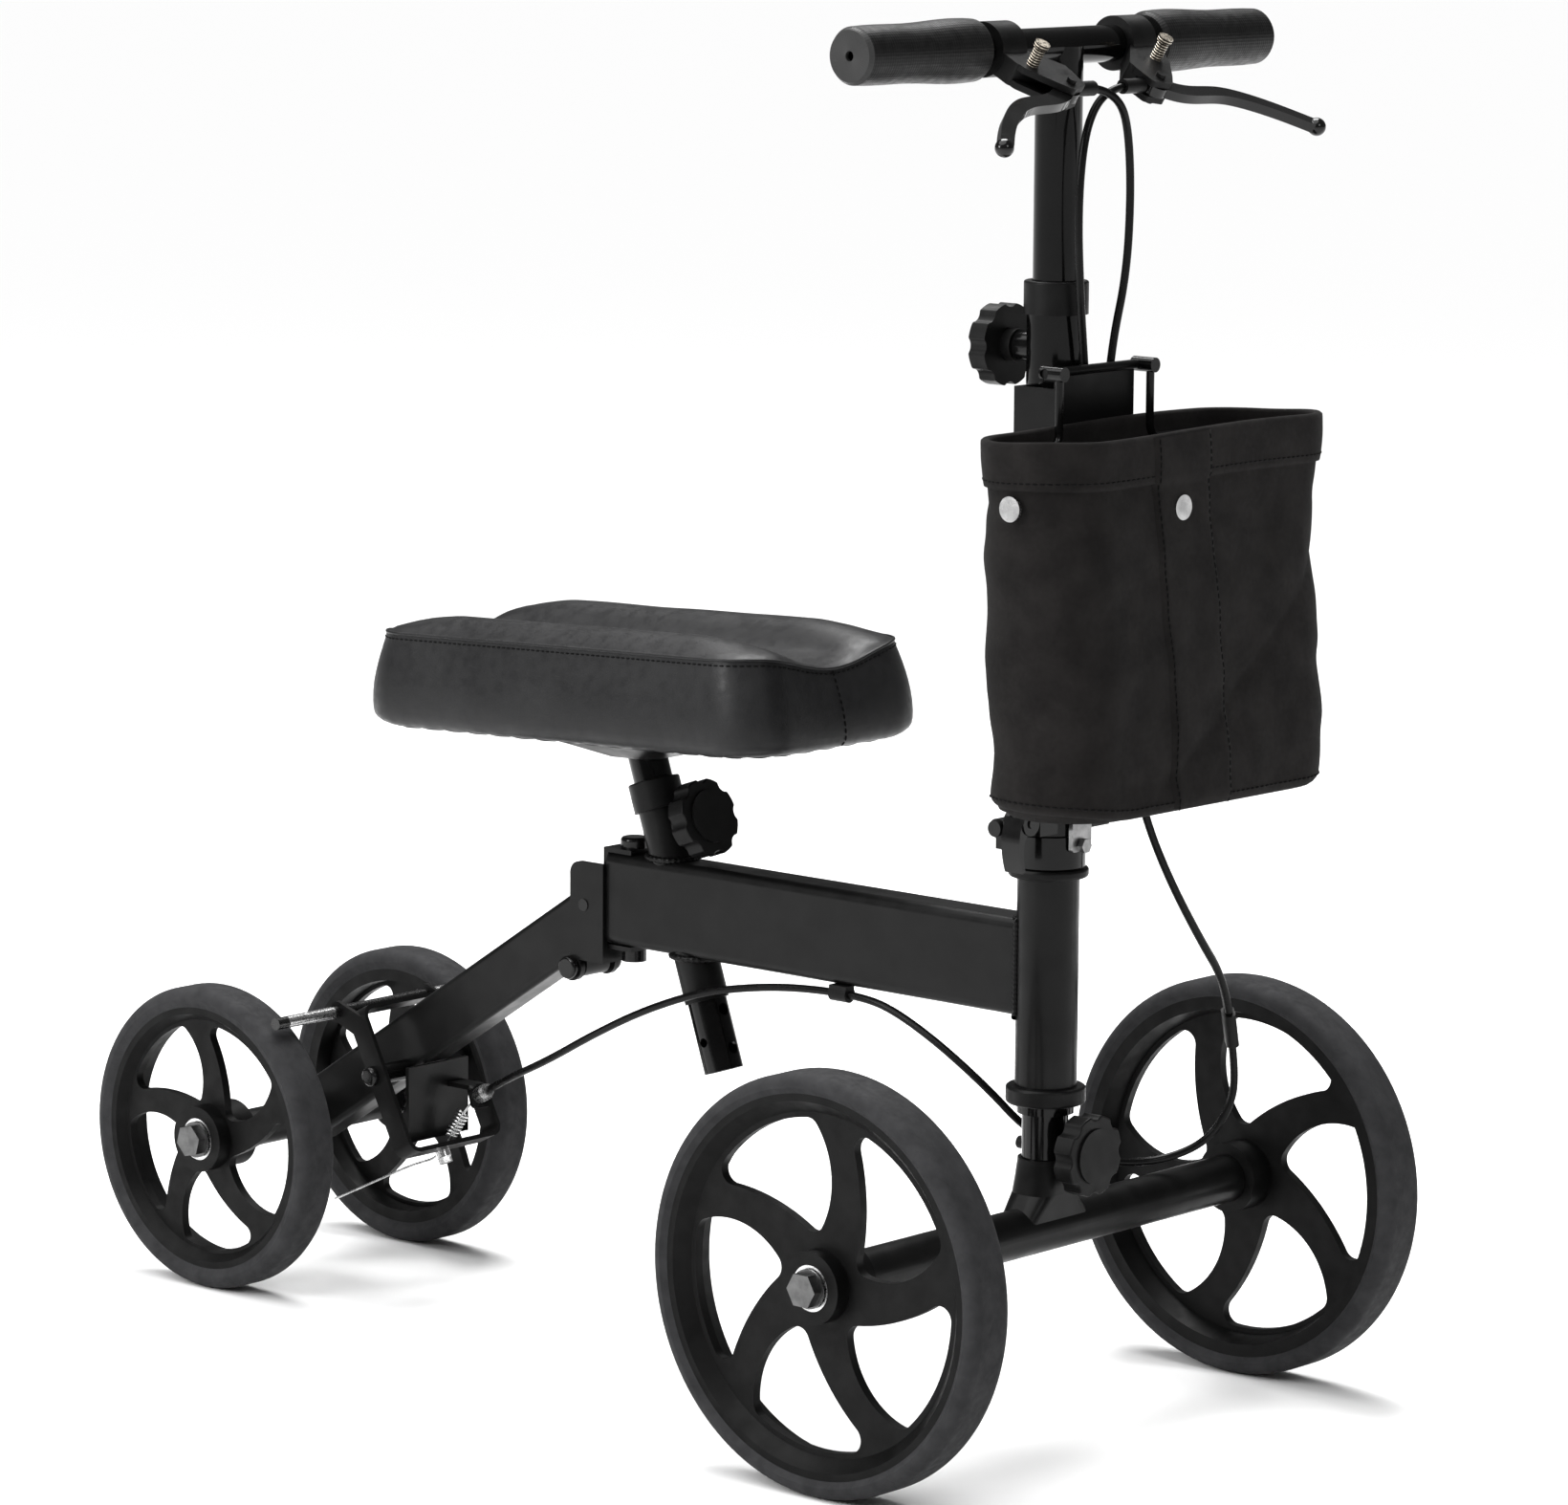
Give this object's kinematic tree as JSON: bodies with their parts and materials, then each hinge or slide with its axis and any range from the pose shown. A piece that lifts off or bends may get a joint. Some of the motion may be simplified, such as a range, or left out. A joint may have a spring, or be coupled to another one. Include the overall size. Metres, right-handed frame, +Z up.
{
  "type": "knee scooter",
  "caption": "Folding steerable knee scooter: padded knee seat on a low beam, wheeled front axle and rear arm, height-adjustable handlebar with brake levers, and a front bag.",
  "frame": {"origin": "on the floor under the middle of the bounding box, in the plane midway between the wheels", "axes": "+X forwards, towards the steered axle and the bag; +Y to the rider's left; +Z up"},
  "size_m": [0.8666, 0.449, 0.8641],
  "materials": {
    "frame_black": "satin",
    "gloss_black": "gloss",
    "plastic_black": "matte",
    "lever_black": "satin",
    "grip_rubber": "matte",
    "tyre_rubber": "matte",
    "wheel_plastic": "matte",
    "bright_steel": "bright zinc",
    "cable_sleeve": "gloss",
    "seat_vinyl": "grained vinyl",
    "bag_canvas": "woven canvas"
  },
  "bodies": {
    "frame": {"main_beam": "frame_black", "head_tube": "frame_black", "headset_cups": "plastic_black", "seat_sleeve": "frame_black", "seat_collar": "plastic_black", "rear_bracket": "frame_black", "bracket_bolts": "bright_steel", "cable_clip": "plastic_black", "brake_cable_rear": "cable_sleeve"},
    "fork": {"steerer": "gloss_black", "steerer_foot": "frame_black", "front_axle_tube": "frame_black", "front_axle_bolts": "bright_steel", "front_wheel_bearings": "bright_steel", "clamp_base": "gloss_black", "latch_plate": "bright_steel", "cable_joiner": "plastic_black", "brake_cable_lower": "cable_sleeve"},
    "column": {"column_sleeve": "gloss_black", "column_collar": "plastic_black", "clamp_head": "gloss_black", "clamp_pins": "bright_steel", "bag_bracket": "frame_black", "bag_wire": "bright_steel", "bag": "bag_canvas", "column_cables": "cable_sleeve"},
    "stem": {"handlebar": "gloss_black", "grips": "grip_rubber", "lever_clamps": "plastic_black", "adjuster_screws": "bright_steel", "lever_cable_right": "cable_sleeve", "lever_cable_left": "cable_sleeve"},
    "right_lever": {"brake_lever_right": "lever_black"},
    "left_lever": {"brake_lever_left": "lever_black"},
    "release_lever": {"quick_lever": "lever_black"},
    "seat": {"seat_post": "gloss_black", "seat_bracket": "frame_black", "seat_pad": "seat_vinyl"},
    "seat_clamp_knob": {"seat_knob": "plastic_black"},
    "column_clamp_knob": {"column_knob": "plastic_black"},
    "foot_knob": {"axle_knob": "plastic_black"},
    "rear": {"rear_arm": "frame_black", "rear_axle_tube": "frame_black", "rear_axle_bolts": "bright_steel", "rear_wheel_bearings": "bright_steel", "cable_anchor": "frame_black", "cable_barrel": "bright_steel", "brake_pivot": "bright_steel"},
    "brake": {"brake_loop": "frame_black", "brake_bar": "bright_steel", "brake_spring": "bright_steel", "brake_inner_wire": "bright_steel"},
    "wheel_front_right": {"front_right_tyre": "tyre_rubber", "front_right_wheel": "wheel_plastic"},
    "wheel_front_left": {"front_left_tyre": "tyre_rubber", "front_left_wheel": "wheel_plastic"},
    "wheel_rear_right": {"rear_right_tyre": "tyre_rubber", "rear_right_wheel": "wheel_plastic"},
    "wheel_rear_left": {"rear_left_tyre": "tyre_rubber", "rear_left_wheel": "wheel_plastic"}
  },
  "joints": [
    {"name": "steering", "type": "hinge", "parent": "frame", "child": "fork", "pos_m": [0.3063, 0, 0.28], "axis": [0, 0, 1], "range_deg": [-40, 40], "deforming": ["brake_cable_lower"]},
    {"name": "column_fold", "type": "hinge", "parent": "fork", "child": "column", "pos_m": [0.2763, 0, 0.372], "axis": [0, 1, 0], "range_deg": [-55, 0], "deforming": ["column_cables"]},
    {"name": "handlebar_height", "type": "slide", "parent": "column", "child": "stem", "axis": [0, 0, 1], "range_m": [0, 0.13], "deforming": ["lever_cable_right", "lever_cable_left"]},
    {"name": "right_brake_lever", "type": "hinge", "parent": "stem", "child": "right_lever", "pos_m": [0.34531, -0.042, 0.82062], "axis": [-0.5299, 0, -0.848], "range_deg": [0, 22], "stiffness_Nm_per_rad": 0.6, "springref_deg": -20.05},
    {"name": "left_brake_lever", "type": "hinge", "parent": "stem", "child": "left_lever", "pos_m": [0.34531, 0.042, 0.82062], "axis": [0.5299, 0, 0.848], "range_deg": [0, 22], "stiffness_Nm_per_rad": 0.6, "springref_deg": -20.05},
    {"name": "release_lever_swing", "type": "hinge", "parent": "column", "child": "release_lever", "pos_m": [0.3183, -0.041, 0.384], "axis": [-1, 0, 0], "range_deg": [0, 120]},
    {"name": "seat_height", "type": "slide", "parent": "frame", "child": "seat", "axis": [-0.3256, 0, 0.9455], "range_m": [0, 0.09]},
    {"name": "seat_knob_turn", "type": "hinge", "parent": "frame", "child": "seat_clamp_knob", "pos_m": [-0.00898, 0, 0.33528], "axis": [0.9455, 0, 0.3256], "continuous": true},
    {"name": "column_knob_turn", "type": "hinge", "parent": "column", "child": "column_clamp_knob", "pos_m": [0.2763, 0, 0.665], "axis": [-1, 0, 0], "continuous": true},
    {"name": "foot_knob_turn", "type": "hinge", "parent": "fork", "child": "foot_knob", "pos_m": [0.3363, 0, 0.177], "axis": [1, 0, 0], "continuous": true},
    {"name": "rear_fold", "type": "hinge", "parent": "frame", "child": "rear", "pos_m": [-0.075, 0, 0.24], "axis": [0, 1, 0], "range_deg": [-60, 0], "deforming": ["brake_cable_rear"]},
    {"name": "brake_swing", "type": "hinge", "parent": "rear", "child": "brake", "pos_m": [-0.2317, 0, 0.149], "axis": [0, 1, 0], "range_deg": [-3.4, 0], "deforming": ["brake_spring", "brake_inner_wire"]},
    {"name": "front_right_wheel_spin", "type": "hinge", "parent": "fork", "child": "wheel_front_right", "pos_m": [0.3063, -0.2, 0.127], "axis": [0, 1, 0], "continuous": true},
    {"name": "front_left_wheel_spin", "type": "hinge", "parent": "fork", "child": "wheel_front_left", "pos_m": [0.3063, 0.2, 0.127], "axis": [0, 1, 0], "continuous": true},
    {"name": "rear_right_wheel_spin", "type": "hinge", "parent": "rear", "child": "wheel_rear_right", "pos_m": [-0.3317, -0.092, 0.1016], "axis": [0, 1, 0], "continuous": true},
    {"name": "rear_left_wheel_spin", "type": "hinge", "parent": "rear", "child": "wheel_rear_left", "pos_m": [-0.3317, 0.092, 0.1016], "axis": [0, 1, 0], "continuous": true}
  ],
  "couplings": [
    {"joint": "brake_swing", "follows": "right_brake_lever", "ratio": -0.15}
  ]
}
